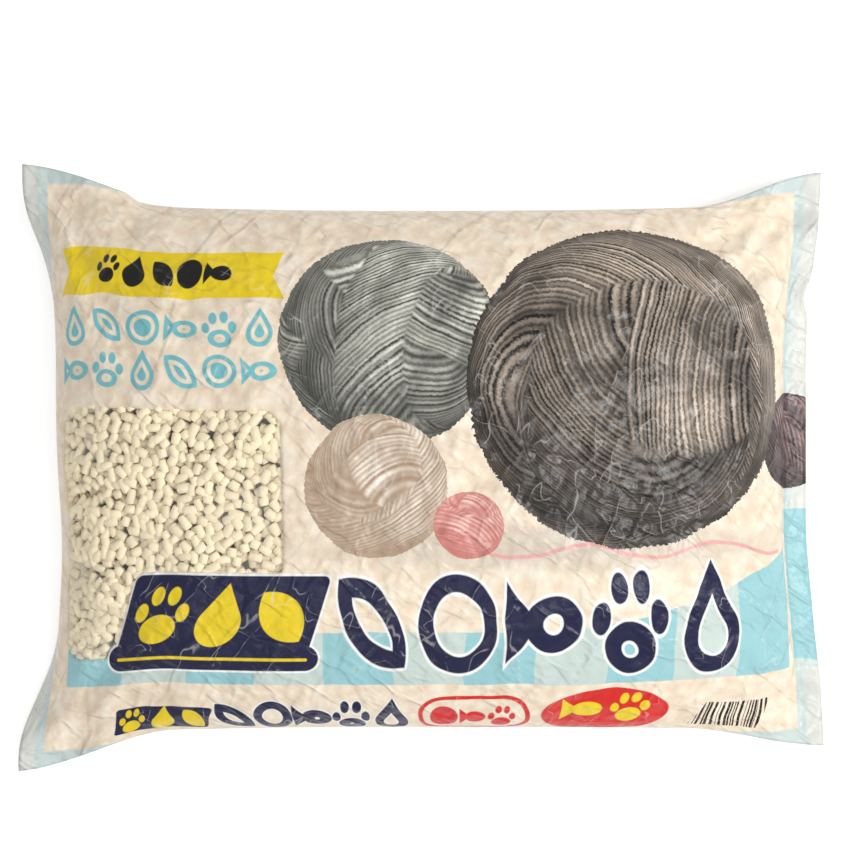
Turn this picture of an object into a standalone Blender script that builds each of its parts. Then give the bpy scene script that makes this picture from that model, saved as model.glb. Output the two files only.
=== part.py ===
"""Cat litter bag: a printed film pillow bag, filled with pellets and lying on its back.

The bag is one tube of film, laid flat and welded across both ends. Filling it swells
the middle and draws the long folds inwards, so the four corners stay behind as thin
ears. The left weld hangs down from the swollen end, and the right one sticks out.

Metres, +Z up. The bag lies along X with its front face up and its printed top edge
towards +Y. The origin is on the floor, under the middle of the bag.
"""

import math
from typing import NamedTuple

import bmesh
import bpy
import numpy as np


class Ear(NamedTuple):
    """One corner of the bag: how far it stands out past the fold and past the weld's middle."""

    end: float
    side: float
    stand_out: float
    run: float
    flare: float
    flare_from: float
    tip_height: float


# The filled body, between the welds and between the long folds
HALF_LENGTH = 0.2620
HALF_WIDTH = 0.1850
HEIGHT = 0.1180
FOLD_HEIGHT = 0.0400
SEAL_HEIGHT = 0.0290
FILM_THICKNESS = 0.0012

# The welded bands across both ends
SEAL_BAND = 0.0175
LEFT_DROOP = math.radians(86.0)
RIGHT_DROOP = math.radians(16.0)
DROOP_EASE = 6
BAND_WAVE_HEIGHT = 0.0014
BAND_WAVES = 5.0

# The ears, from the upper left to the lower right of the print
EARS = (
    Ear(end=-1.0, side=1.0, stand_out=0.0355, run=0.125, flare=0.0085, flare_from=0.35, tip_height=0.021),
    Ear(end=1.0, side=1.0, stand_out=0.0290, run=0.092, flare=0.0105, flare_from=0.35, tip_height=0.023),
    Ear(end=-1.0, side=-1.0, stand_out=0.0345, run=0.113, flare=0.0115, flare_from=0.50, tip_height=0.015),
    Ear(end=1.0, side=-1.0, stand_out=0.0160, run=0.100, flare=0.0135, flare_from=0.15, tip_height=0.012),
)
EAR_LONG_SHARE = 0.22
EAR_DROP_FROM = 0.30

# How square the body is, and how its round sides thin out to wedges at the ears
SQUARENESS = 2.35
ROUND_SIDE = 0.50
WEDGE_SIDE = 1.15
WEDGE_POWER = 5.0

# Where the seam between the plies starts to dip towards the ends and the ears
END_DIP_POWER = 3.0
EAR_DIP_POWER = 6.0

# How quickly the underside settles on the floor, and how round it turns there
SETTLING = 2.1
SETTLING_ROUND = 1.7

# Gathers that run from the welds into the swollen film
GATHER_HEIGHT = 0.0034
GATHERS = 11.0
GATHER_REACH = 0.085

# Gathers that run in from the long folds, towards the ears
FOLD_GATHER_HEIGHT = 0.0024
FOLD_GATHERS = 10.0
FOLD_GATHER_REACH = 0.060
FOLD_GATHERS_FROM = 0.30

# Creases that fan out from the ears over the body, and folds that fan out over the ears
CREASE_HEIGHT = 0.0034
CREASES = 3.6
CREASE_FROM = 0.040
CREASE_REACH = 0.190
EAR_FOLD_HEIGHT = 0.0042
EAR_FOLDS = 2.4
EAR_FOLDS_FROM = (0.72, 0.62)
EAR_FAN_CENTRE = (0.80, 0.70)

# The dent in the left end, the tuck that steps the upper left ear out, and the nick in the right weld
DENT_DEPTH = 0.0045
DENT_AT = -0.27
DENT_SPREAD = 0.26
TUCK_FROM_SEAM = 0.056
TUCK_DEPTH = 0.0042
TUCK_LENGTH = 0.012
TUCK_RECOVERY = 0.050
TUCK_EDGE_POWER = 8.0
NICK_FROM_FOLD = 0.078
NICK_DEPTH = 0.0050
NICK_LIFT = 0.0040
NICK_LENGTH = 0.010

# Low swells of the pellets under the film
SWELL_HEIGHT = 0.0011
SWELL_PITCH = 0.040
SWELL_WAVES = 14

# The film starts to show relief once it stands this share of the height off the seam
RELIEF_FROM = 0.30

# Uneven waves: how many are laid over each other, and how far they vary
RIPPLE_PARTS = 4
RIPPLE_SPREAD = 0.35
SEED = 41

# Mesh
BAND_CELL_COUNT = 2
BODY_CELL_COUNT_ALONG = 58
BODY_CELL_COUNT_ACROSS = 42
PROFILE_SAMPLE_COUNT = 600

FILM_COLOUR = (0.80, 0.74, 0.65, 1.0)
FILM_ROUGHNESS = 0.38


def clear_scene():
    """Empties the scene of the objects it opens with."""
    for old in list(bpy.data.objects):
        bpy.data.objects.remove(old)


def smooth(value):
    """Eased step from 0 to 1."""
    held = np.clip(value, 0.0, 1.0)
    return held * held * (3.0 - 2.0 * held)


def past(value, start):
    """Eased step of a share, from 0 at the start to 1 at the bag's edge."""
    return smooth((np.abs(value) - start) / (1.0 - start))


def ripple(shares, waves, kind):
    """Uneven waves over shares of a length, between about -1 and 1, different for each kind."""
    chance = np.random.default_rng(SEED + kind)
    total = np.zeros_like(shares)
    for _ in range(RIPPLE_PARTS):
        count = waves * chance.uniform(1.0 - RIPPLE_SPREAD, 1.0 + RIPPLE_SPREAD)
        total += np.sin(math.pi * count * shares + chance.uniform(0.0, 2.0 * math.pi))
    return total / math.sqrt(RIPPLE_PARTS)


def even_places(reach, cells):
    """Places from -1 to 1 that part the film over a body of this half size into even cells."""
    places = np.sin(np.linspace(0.0, 0.5 * math.pi, PROFILE_SAMPLE_COUNT))
    heights = (HEIGHT - FOLD_HEIGHT) * (1.0 - places**SQUARENESS) ** ROUND_SIDE
    steps = np.hypot(np.diff(places) * reach, np.diff(heights))
    lengths = np.concatenate(([0.0], np.cumsum(steps)))
    half = np.interp(np.linspace(0.0, lengths[-1], cells // 2 + 1), lengths, places)
    return np.concatenate((-half[:0:-1], half))


class Film:
    """The film's places over a grid: shares of the body each way, and shares of a weld."""

    def __init__(self):
        body = even_places(HALF_LENGTH, BODY_CELL_COUNT_ALONG)
        out = np.arange(1, BAND_CELL_COUNT + 1) / BAND_CELL_COUNT
        ones = np.ones(BAND_CELL_COUNT)
        rows = np.concatenate((-ones, body, ones))
        bands = np.concatenate((out[::-1], np.zeros(len(body)), out))
        columns = even_places(HALF_WIDTH, BODY_CELL_COUNT_ACROSS)
        self.along, self.across = np.meshgrid(rows, columns, indexing="ij")
        self.on_band = np.repeat(bands[:, None], len(columns), axis=1)
        self.end = np.sign(self.along)
        self.side = np.sign(self.across)
        self.from_seam = (1.0 - np.abs(self.along)) * HALF_LENGTH
        self.from_fold = (1.0 - np.abs(self.across)) * HALF_WIDTH
        self.from_tip = self.from_seam + (1.0 - self.on_band) * SEAL_BAND


def fill_share(film):
    """Share of the full height, from 1 in the middle of the body to 0 along its edge."""
    along, across = np.abs(film.along), np.abs(film.across)
    side_at_ends = ROUND_SIDE + (WEDGE_SIDE - ROUND_SIDE) * along**WEDGE_POWER
    side_at_folds = ROUND_SIDE + (WEDGE_SIDE - ROUND_SIDE) * across**WEDGE_POWER
    return (1.0 - along**SQUARENESS) ** side_at_folds * (1.0 - across**SQUARENESS) ** side_at_ends


def at_ear(film, ear):
    """1 on the quarter of the film that has this ear, and 0 elsewhere."""
    return (film.end == ear.end) & (film.side == ear.side)


def ear_stand_out(film):
    """How far the long folds stand out towards the tips of the ears."""
    stand_out = np.zeros_like(film.along)
    for ear in EARS:
        near = smooth(1.0 - film.from_tip / ear.run)
        far = np.clip(1.0 - film.from_tip / HALF_LENGTH, 0.0, 1.0) ** 2
        rise = (1.0 - EAR_LONG_SHARE) * near + EAR_LONG_SHARE * far
        stand_out += at_ear(film, ear) * ear.stand_out * rise
    return stand_out


def seam_flare(film):
    """How far the ends of the welds stand out past their middles."""
    flare = np.zeros_like(film.along)
    for ear in EARS:
        flare += at_ear(film, ear) * ear.flare * past(film.across, ear.flare_from)
    return flare


def seam_height(film):
    """Height of the surface where the two plies meet, which dips to the welds and the ears."""
    height = FOLD_HEIGHT + (SEAL_HEIGHT - FOLD_HEIGHT) * np.abs(film.along) ** END_DIP_POWER
    dip = np.abs(film.along) ** EAR_DIP_POWER * past(film.across, EAR_DROP_FROM)
    for ear in EARS:
        height += at_ear(film, ear) * (ear.tip_height - SEAL_HEIGHT) * dip
    return height


def ear_folds(film):
    """Folds that fan out over the ears from the corners of the body, in both plies alike."""
    near = past(film.along, EAR_FOLDS_FROM[0]) * past(film.across, EAR_FOLDS_FROM[1])
    beyond = (np.abs(film.along) - EAR_FAN_CENTRE[0], np.abs(film.across) - EAR_FAN_CENTRE[1])
    fan = np.arctan2(beyond[1], beyond[0])
    folds = np.zeros_like(fan)
    for kind, ear in enumerate(EARS):
        folds += at_ear(film, ear) * ripple(fan, EAR_FOLDS, kind)
    return EAR_FOLD_HEIGHT * near * folds


def gathers(film):
    """Ridges that run from the welds, and from the long folds near the ears, into the body."""
    at_welds = np.where(film.end < 0.0, ripple(film.across, GATHERS, 10), ripple(film.across, GATHERS, 11))
    at_folds = np.where(
        film.side < 0.0, ripple(film.along, FOLD_GATHERS, 12), ripple(film.along, FOLD_GATHERS, 13)
    )
    from_welds = GATHER_HEIGHT * smooth(1.0 - film.from_seam / GATHER_REACH) * at_welds
    from_folds = FOLD_GATHER_HEIGHT * smooth(1.0 - film.from_fold / FOLD_GATHER_REACH) * at_folds
    return from_welds + from_folds * past(film.along, FOLD_GATHERS_FROM)


def ear_creases(film):
    """Creases drawn from each ear into the body by the film's tension."""
    from_corner = np.hypot(film.from_seam, film.from_fold)
    near = smooth(1.0 - from_corner / CREASE_REACH) * smooth(from_corner / CREASE_FROM)
    fan = np.arctan2(film.from_fold, film.from_seam)
    creases = np.zeros_like(fan)
    for kind, ear in enumerate(EARS, start=20):
        creases += at_ear(film, ear) * ripple(fan, CREASES, kind)
    return CREASE_HEIGHT * near * creases


def swells(x, y):
    """Low bumps of the pellets that press on the film: waves that cross in all directions."""
    chance = np.random.default_rng(SEED)
    total = np.zeros_like(x)
    for _ in range(SWELL_WAVES):
        heading = chance.uniform(0.0, 2.0 * math.pi)
        turn = 2.0 * math.pi / (SWELL_PITCH * chance.uniform(0.8, 2.0))
        shift = chance.uniform(0.0, 2.0 * math.pi)
        total += np.sin(turn * (x * math.cos(heading) + y * math.sin(heading)) + shift)
    return SWELL_HEIGHT * total / math.sqrt(SWELL_WAVES)


def dent(film):
    """Share of the dent that draws the left end in."""
    return (film.end < 0.0) * np.exp(-(((film.across - DENT_AT) / DENT_SPREAD) ** 2))


def tuck(film):
    """Share of the tuck that draws the upper left fold in, sharply by the ear and slowly after it."""
    from_tuck = film.from_seam - TUCK_FROM_SEAM
    drawn_in = smooth(from_tuck / TUCK_LENGTH) * smooth(1.0 - from_tuck / TUCK_RECOVERY)
    return at_ear(film, EARS[0]) * drawn_in * np.abs(film.across) ** TUCK_EDGE_POWER


def nick(film):
    """Share of the nick in the right weld, where its edge is pinched."""
    from_nick = (film.from_fold - NICK_FROM_FOLD) / NICK_LENGTH
    return at_ear(film, EARS[1]) * film.on_band * np.exp(-(from_nick**2))


def plies():
    """Points of the upper and the lower ply of the filled bag, over a grid of the film."""
    film = Film()
    droop = np.where(film.end < 0.0, LEFT_DROOP, RIGHT_DROOP)
    droop = droop * (1.0 - smooth(np.abs(film.across)) ** DROOP_EASE)
    band = SEAL_BAND * film.on_band - NICK_DEPTH * nick(film)
    half_length = HALF_LENGTH + seam_flare(film) - DENT_DEPTH * dent(film)
    x = film.along * half_length + film.end * band * np.cos(droop)
    y = film.across * (HALF_WIDTH + ear_stand_out(film)) - film.side * TUCK_DEPTH * tuck(film)

    seam = seam_height(film) + ear_folds(film) - band * np.sin(droop) + NICK_LIFT * nick(film)
    seam += BAND_WAVE_HEIGHT * film.on_band * ripple(film.across, BAND_WAVES, 30)
    share = fill_share(film)
    relief = gathers(film) + ear_creases(film) + swells(x, y)
    upper = seam + (HEIGHT - FOLD_HEIGHT) * share + relief * smooth(share / RELIEF_FROM)
    lower = seam * np.clip(1.0 - SETTLING * share, 0.0, 1.0) ** SETTLING_ROUND
    lower -= np.minimum(FILM_THICKNESS, lower)
    return np.stack((x, y, upper), axis=-1), np.stack((x, y, lower), axis=-1)


def film_material():
    """Printed film with a soft gloss."""
    made = bpy.data.materials.new("printed_film")
    made.use_nodes = True
    shader = made.node_tree.nodes["Principled BSDF"]
    shader.inputs["Base Color"].default_value = FILM_COLOUR
    shader.inputs["Roughness"].default_value = FILM_ROUGHNESS
    shader.inputs["Metallic"].default_value = 0.0
    return made


def flat_bag(cells_along, cells_across):
    """A flat sheet from -1 to 1 each way with a second ply under it, joined around the edge."""
    flat = bmesh.new()
    bmesh.ops.create_grid(flat, x_segments=cells_along, y_segments=cells_across, size=1.0)
    under = bmesh.ops.extrude_face_region(flat, geom=flat.faces[:])
    for vertex in (item for item in under["geom"] if isinstance(item, bmesh.types.BMVert)):
        vertex.co.z = -1.0
    bmesh.ops.recalc_face_normals(flat, faces=flat.faces[:])
    return flat


def set_down(bag):
    """Centres the bag over the origin, with its lowest point on the floor."""
    places = np.array([vertex.co for vertex in bag.verts])
    middle = 0.5 * (places.min(0) + places.max(0))
    lowest = places[:, 2].min()
    bmesh.ops.translate(bag, verts=bag.verts[:], vec=(-middle[0], -middle[1], -lowest))


def make_bag(collection):
    """The filled, sealed bag as one closed solid."""
    upper, lower = plies()
    cells_along, cells_across = upper.shape[0] - 1, upper.shape[1] - 1
    bag = flat_bag(cells_along, cells_across)
    for vertex in bag.verts:
        row = round(0.5 * (vertex.co.x + 1.0) * cells_along)
        column = round(0.5 * (vertex.co.y + 1.0) * cells_across)
        ply = upper if vertex.co.z >= 0.0 else lower
        vertex.co = ply[row, column]
    set_down(bag)
    mesh = bpy.data.meshes.new("litter_bag")
    bag.to_mesh(mesh)
    bag.free()
    mesh.shade_smooth()
    mesh.materials.append(film_material())
    made = bpy.data.objects.new("litter_bag", mesh)
    collection.objects.link(made)
    return made


def main():
    """Builds the bag in its own collection."""
    clear_scene()
    collection = bpy.data.collections.new("cat_litter_bag")
    bpy.context.scene.collection.children.link(collection)
    make_bag(collection)


main()
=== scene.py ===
"""Cat litter bag: its printed film, clear window, pellets and studio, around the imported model.

Metres, +Z up. The print is laid out in millimetres of flat film, measured from the middle
of the front: across the page to the right, and up the page.
"""

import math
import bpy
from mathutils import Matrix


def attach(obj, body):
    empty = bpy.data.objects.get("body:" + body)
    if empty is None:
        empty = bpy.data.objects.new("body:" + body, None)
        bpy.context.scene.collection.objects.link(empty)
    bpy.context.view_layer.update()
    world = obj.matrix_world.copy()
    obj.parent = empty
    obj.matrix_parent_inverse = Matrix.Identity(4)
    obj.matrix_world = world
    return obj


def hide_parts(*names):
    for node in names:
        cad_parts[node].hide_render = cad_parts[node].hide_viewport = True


bl_info = {
    "name": "Cat Litter Bag",
    "version": (1, 0, 0),
    "blender": (4, 5, 0),
    "location": "3D View > Sidebar > Litter Bag",
    "description": "A filled bag of printed film with a clear window on its pellets",
    "category": "Add Mesh",
}

from functools import reduce
from typing import NamedTuple

import bpy
import numpy as np
from mathutils.kdtree import KDTree

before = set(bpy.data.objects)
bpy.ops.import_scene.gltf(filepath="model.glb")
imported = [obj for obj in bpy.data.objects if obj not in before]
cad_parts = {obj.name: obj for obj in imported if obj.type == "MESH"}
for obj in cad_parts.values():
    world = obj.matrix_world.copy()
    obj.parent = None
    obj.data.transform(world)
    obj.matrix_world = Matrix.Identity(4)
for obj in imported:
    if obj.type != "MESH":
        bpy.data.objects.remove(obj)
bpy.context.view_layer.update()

MM = 0.001


class Ear(NamedTuple):
    """One corner of the bag: how far it stands out past the fold and past the weld's middle."""

    end: float
    side: float
    stand_out: float
    run: float
    flare: float
    flare_from: float
    tip_height: float


class IconRow(NamedTuple):
    """A row of small generic signs in the print, in millimetres of flat film."""

    ink: str
    start: float
    level: float
    pitch: float
    count: int
    size: float
    first: int
    tall: float = 1.0
    slant: float = 0.0
    stroke: float = 0.0
    outline: float = 0.0
    core: float = 0.0


class Slab(NamedTuple):
    """A panel of the print with round corners, in millimetres of flat film."""

    centre: tuple
    half: tuple
    corner: float
    slant: float = 0.0


class WoolBall(NamedTuple):
    """A printed ball of wool, in millimetres of flat film."""

    centre: tuple
    radius: float
    turn: float
    light: tuple
    shade: tuple


# The form of the filled film, as in the solid
SEAL_BAND = 0.0175
LEFT_DROOP = math.radians(86.0)
RIGHT_DROOP = math.radians(16.0)
DROOP_EASE = 6
BAND_WAVE_HEIGHT = 0.0014
BAND_WAVES = 5.0
FOLD_HEIGHT = 0.0400
SEAL_HEIGHT = 0.0290
FILM_THICKNESS = 0.0012
EARS = (
    Ear(end=-1.0, side=1.0, stand_out=0.0355, run=0.125, flare=0.0085, flare_from=0.35, tip_height=0.021),
    Ear(end=1.0, side=1.0, stand_out=0.0290, run=0.092, flare=0.0105, flare_from=0.35, tip_height=0.023),
    Ear(end=-1.0, side=-1.0, stand_out=0.0345, run=0.113, flare=0.0115, flare_from=0.50, tip_height=0.015),
    Ear(end=1.0, side=-1.0, stand_out=0.0160, run=0.100, flare=0.0135, flare_from=0.15, tip_height=0.012),
)
EAR_LONG_SHARE = 0.22
EAR_DROP_FROM = 0.30
SQUARENESS = 2.35
ROUND_SIDE = 0.50
WEDGE_SIDE = 1.15
WEDGE_POWER = 5.0
END_DIP_POWER = 3.0
EAR_DIP_POWER = 6.0
SETTLING = 2.1
SETTLING_ROUND = 1.7
GATHER_HEIGHT = 0.0034
GATHERS = 11.0
GATHER_REACH = 0.085
FOLD_GATHER_HEIGHT = 0.0024
FOLD_GATHERS = 10.0
FOLD_GATHER_REACH = 0.060
FOLD_GATHERS_FROM = 0.30
CREASE_HEIGHT = 0.0034
CREASES = 3.6
CREASE_FROM = 0.040
CREASE_REACH = 0.190
EAR_FOLD_HEIGHT = 0.0042
EAR_FOLDS = 2.4
EAR_FOLDS_FROM = (0.72, 0.62)
EAR_FAN_CENTRE = (0.80, 0.70)
DENT_DEPTH = 0.0045
DENT_AT = -0.27
DENT_SPREAD = 0.26
TUCK_FROM_SEAM = 0.056
TUCK_DEPTH = 0.0042
TUCK_LENGTH = 0.012
TUCK_RECOVERY = 0.050
TUCK_EDGE_POWER = 8.0
NICK_FROM_FOLD = 0.078
NICK_DEPTH = 0.0050
NICK_LIFT = 0.0040
NICK_LENGTH = 0.010
SWELL_HEIGHT = 0.0011
SWELL_PITCH = 0.040
SWELL_PITCH_SHARES = (0.8, 2.0)
SWELL_WAVES = 14
RELIEF_FROM = 0.30
RIPPLE_PARTS = 4
RIPPLE_SPREAD = 0.35
SEED = 41

# Which uneven waves go with which feature, and the first of the four for the ears
GATHER_KINDS = (10, 11, 12, 13)
FINE_GATHER_KIND = 14
EAR_FOLD_KIND = 0
EAR_CREASE_KIND = 20
BAND_WAVE_KIND = 30

# Fine relief that only the dressed film has
PELLET_PRESS = 0.00055
PELLET_PRESS_PITCH = 0.0098
PELLET_PRESS_WANDER = 0.42
PELLET_PRESS_REACH = 0.75
FINE_GATHER_HEIGHT = 0.0007
FINE_GATHERS = 34.0
FINE_GATHER_REACH = 0.030
PROFILE_SAMPLES = 2000
BAND_CELLS = 6
BODY_CELLS_ALONG = 228
BODY_CELLS_ACROSS = 168

# The window, in millimetres of flat film, and the clear film there
WINDOW = Slab((-182.2, -46.4), (85.7, 88.6), 18.0)
WINDOW_WALL = 2.5
WINDOW_LIP = 0.9
WINDOW_OVERLAP = 1.5
WINDOW_THICKNESS = 0.0003

# The pellets: their pocket and layers in pellet radii, with each layer's tone; the deeper layer's lower tone
# is painted shade
POCKET_DEPTH = 3.0
PELLET_REACH = 3.0
PELLET_LAYERS = ((1.25, 0.80), (2.0, 0.48))
PELLET_DENSITY = 60000.0
PELLET_SIZES = ((0.70, 0.88, 0.88), (1.30, 1.10, 1.10))
PELLET_TILT = 0.13
PELLET_NARROWING = 0.26
PELLET_SEED = 11

# Half the size of the flat film between its welds and folds, and the bare strip by its ears
FLAT_HALF = (288.9, 217.3)
EAR_MARGIN = 12.0

# The print, in millimetres of flat film
BANNER_CENTRE = (-181.5, 139.5)
BANNER_HALF = (86.5, 18.0)
BANNER_NOTCH = 7.5
BAND_LEFT = -265.0
BAND_BOTTOM = -156.0
BAND_TOP = -124.0
BAND_RISE = 9.0
BAND_RISE_END = -150.0
BAND_CLIMB = 62.0
BAND_CLIMB_SPAN = (60.0, 290.0)
BAND_CLIMB_POWER = 2.1
BAND_GAP_AT = 283.0
BAND_GAP_HALF = 5.0
COLUMN_PITCH = 49.3
WELD_COLUMN = Slab((301.0, -91.0), (13.5, 59.0), 1.0)
BLOCK = Slab((-141.0, -102.0), (71.0, 28.0), 5.0, 0.30)
BLOCK_FOOT = ((-216.0, -134.5), (-81.0, -134.5), 10.0)
OUTLINE = 1.6
PRINT_SLIP = 5.0
RULE = ((-218.0, -135.5), (-80.0, -135.5), 1.2)
SMALL_BLOCK = Slab((-191.0, -192.0), (36.5, 13.5), 3.0, BLOCK.slant)
SEAL = ((20.5, -187.5), (58.5, -187.5), 21.5)
SEAL_LINE = 1.7
BADGE = ((134.0, -186.0), (46.0, 26.0))
BARS = Slab((230.0, -193.0), (26.0, 14.0), 0.5, 0.25)
BARS_PITCH = 2.1
ICON_ROWS = (
    IconRow("black", -236.0, 140.5, 21.0, 5, 26.0, 0, tall=1.1, slant=0.12),
    IconRow("aqua", -268.0, 99.0, 28.4, 6, 33.0, 1, stroke=1.7, core=6.2),
    IconRow("aqua", -268.0, 68.5, 28.4, 6, 33.0, 4, stroke=1.7, core=6.2),
    IconRow("navy", -63.0, -109.0, 59.8, 5, 71.0, 2, tall=1.40, stroke=4.8, outline=OUTLINE),
    IconRow("yellow", -207.0, -103.5, 44.0, 3, 54.0, 0, slant=BLOCK.slant),
    IconRow("yellow", -226.0, -192.5, 23.5, 3, 28.0, 0, tall=1.15, slant=BLOCK.slant),
    IconRow("navy", -151.0, -189.5, 29.0, 5, 38.0, 2, tall=1.25, stroke=3.3, outline=0.8),
    IconRow("red", 7.5, -189.0, 21.0, 3, 26.0, 3, tall=1.30),
    IconRow("yellow", 99.0, -180.0, 35.0, 2, 38.0, 4),
)
SHADOW = ((95.0, -54.0), (165.0, 17.0))
STRAND_SPAN = (30.0, 268.0)
STRAND_LEVEL = -57.0
STRAND_SWAY = 5.0
STRAND_SWAY_LENGTH = 15.0
STRAND_RADIUS = 1.4

# The signs, as shares of their cell
SIGN_KINDS = 5
SIGN_REACH = 0.455
TOES = ((-0.285, 0.04), (-0.115, 0.26), (0.115, 0.26), (0.285, 0.04))
TOE_HALF = (0.088, 0.125)
PALM = ((0.0, -0.19), (0.25, 0.20))
DROP_RADIUS = 0.30
DROP_LEVEL = -0.12
DROP_SIDE = (0.85, 0.527)
LEAF_OFF = 0.22
LEAF_RADIUS = 0.56
BALL_RADIUS = 0.38
FISH = ((0.09, 0.0), (0.29, 0.21))
TAIL_SLOPE = (0.69, 0.72)
TAIL_START = -0.04
TAIL_END = -0.38

# The studio, with each lamp's name, place, share of the power and size
FLOOR_HALF = 4.0
FLOOR_DROP = 0.0004
FLOOR_TINT = (0.82, 0.82, 0.82, 1.0)
FLOOR_GLOW = 0.50
LAMPS = (("key", (1.55, 0.00, 1.9), 1.0, 0.9), ("fill", (-0.5, -1.1, 2.0), 0.22, 1.2))
SKY_LIGHT = 0.56
LENS = 136.5
CAMERA_OFF_MIDDLE = (0.00936, 0.02448)


def linear(red, green, blue):
    """A colour as the eye reads it on a screen, from 0 to 255, in Blender's linear numbers."""
    parts = np.array((red, green, blue)) / 255.0
    low = parts / 12.92
    high = ((parts + 0.055) / 1.055) ** 2.4
    return (*np.where(parts <= 0.04045, low, high).tolist(), 1.0)


INKS = {
    "navy": linear(22, 23, 60),
    "black": linear(16, 14, 15),
    "aqua": linear(118, 186, 194),
    "yellow": linear(230, 202, 30),
    "red": linear(208, 34, 30),
    "white": linear(240, 240, 236),
    "sky": linear(149, 197, 202),
    "mist": linear(194, 209, 202),
    "shadow": linear(176, 168, 158),
    "strand": linear(224, 164, 160),
    # painted shade: dark brown for the shade between the pellets, laid on the film sunk behind the window
    "painted_gap_shade": linear(70, 54, 38),
}
SEAM_TINT = linear(180, 204, 205)
# painted shade in the valleys between the pellet presses
DIMPLE_SHADE_TINT = linear(214, 196, 170)
BLUSH_TINT = linear(228, 202, 178)
GLEAM_TINT = linear(250, 243, 228)
# lightened lines along the creases: partly worn ink, partly painted glints
WORN_AND_GLINT_TINT = linear(236, 230, 226)
# whitish colour of the clear film's haze: partly the film's own haze, partly painted glare
HAZE_AND_GLARE_TINT = linear(244, 238, 224)
# dark end of the pellet tone: random tone from pellet to pellet, and painted shade on the deeper layer
DARK_PULP_AND_SHADE_TINT = linear(140, 116, 82)
# painted shade on the lower sides of each pellet, for the shade where pellets touch
PELLET_SIDE_SHADE_TINT = linear(84, 62, 38)
FIBRE_TINT = linear(246, 240, 222)

WOOL_BALLS = (
    WoolBall((-22.0, 92.0), 76.0, 0.4, linear(236, 234, 220), linear(56, 58, 52)),
    WoolBall((288.0, 20.0), 36.0, 5.2, linear(168, 140, 136), linear(34, 22, 26)),
    WoolBall((150.0, 62.0), 117.0, 1.9, linear(206, 188, 170), linear(8, 7, 7)),
    WoolBall((-30.0, -12.0), 50.0, 3.1, linear(248, 238, 222), linear(166, 140, 116)),
    WoolBall((34.0, -38.0), 24.0, 4.4, linear(246, 206, 196), linear(190, 112, 104)),
)
WOOL_AXES = (
    (0.30, 0.90, 0.32),
    (0.94, 0.10, 0.33),
    (-0.55, 0.60, 0.58),
    (0.45, 0.25, 0.86),
    (0.75, -0.62, 0.22),
)
WOOL_TONES = (1.0, 0.55, 1.25, 0.68, 1.0)
WOOL_TURN_AXIS = (0.48, 0.36, 0.80)
WOOL_LIGHT = (0.30, 0.50, 0.81)


def length_setting(name, description, default):
    """A length in the sidebar."""
    return bpy.props.FloatProperty(name=name, description=description, default=default, unit="LENGTH")


def tint_setting(name, description, default):
    """A colour in the sidebar."""
    return bpy.props.FloatVectorProperty(
        name=name, description=description, default=default, subtype="COLOR", size=4
    )


class FilmSettings(bpy.types.PropertyGroup):
    """Sizes of the filled bag."""

    half_length: length_setting("Half length", "From the middle of the bag to the seam of a weld", 0.2620)
    half_width: length_setting("Half width", "From the middle of the bag to a long fold", 0.1850)
    height: length_setting("Height", "Thickness of the filled bag", 0.1180)
    empty_tint: tint_setting(
        "Empty film", "Colour of the film where no pellets lie behind it", linear(212, 214, 207)
    )
    filled_tint: tint_setting(
        "Filled film", "Colour of the unprinted film over the pellets", linear(240, 226, 203)
    )


class PelletSettings(bpy.types.PropertyGroup):
    """Sizes of the pellets behind the window."""

    radius: length_setting("Radius", "Radius of one pellet", 0.0036)
    length: length_setting("Length", "Mean length of one pellet", 0.0086)
    spacing: length_setting("Spacing", "Least distance between the middles of two pellets in a layer", 0.0057)
    tint: tint_setting("Pellet", "Colour of pressed paper pulp", linear(255, 240, 203))


class StageSettings(bpy.types.PropertyGroup):
    """The studio around the bag."""

    camera_height: length_setting("Camera height", "Height of the camera over the floor", 2.400)
    lamp_power: bpy.props.FloatProperty(
        name="Lamp power",
        description="Power of the main lamp in watts",
        default=36.0,
        unit="POWER",
    )


def smooth(value):
    """Eased step from 0 to 1."""
    held = np.clip(value, 0.0, 1.0)
    return held * held * (3.0 - 2.0 * held)


def past(value, start):
    """Eased step of a share, from 0 at the start to 1 at the bag's edge."""
    return smooth((np.abs(value) - start) / (1.0 - start))


def ripple(shares, waves, kind):
    """Uneven waves over shares of a length, between about -1 and 1, different for each kind."""
    chance = np.random.default_rng(SEED + kind)
    total = np.zeros_like(shares)
    for _ in range(RIPPLE_PARTS):
        count = waves * chance.uniform(1.0 - RIPPLE_SPREAD, 1.0 + RIPPLE_SPREAD)
        total += np.sin(math.pi * count * shares + chance.uniform(0.0, 2.0 * math.pi))
    return total / math.sqrt(RIPPLE_PARTS)


def slab_distance(along, across, slab):
    """Distance from the edge of a slab, below 0 inside it."""
    x, y = along - slab.centre[0], across - slab.centre[1]
    beyond_x = np.abs(x - slab.slant * y) - slab.half[0] + slab.corner
    beyond_y = np.abs(y) - slab.half[1] + slab.corner
    outside = np.hypot(np.maximum(beyond_x, 0.0), np.maximum(beyond_y, 0.0))
    return outside + np.minimum(np.maximum(beyond_x, beyond_y), 0.0) - slab.corner


def block_distance(along, across):
    """Distance from the edge of the slanted block and its foot, below 0 inside them."""
    start, end, radius = BLOCK_FOOT
    foot = np.hypot(along - np.clip(along, start[0], end[0]), across - start[1]) - radius
    return np.minimum(slab_distance(along, across, BLOCK), foot)


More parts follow.
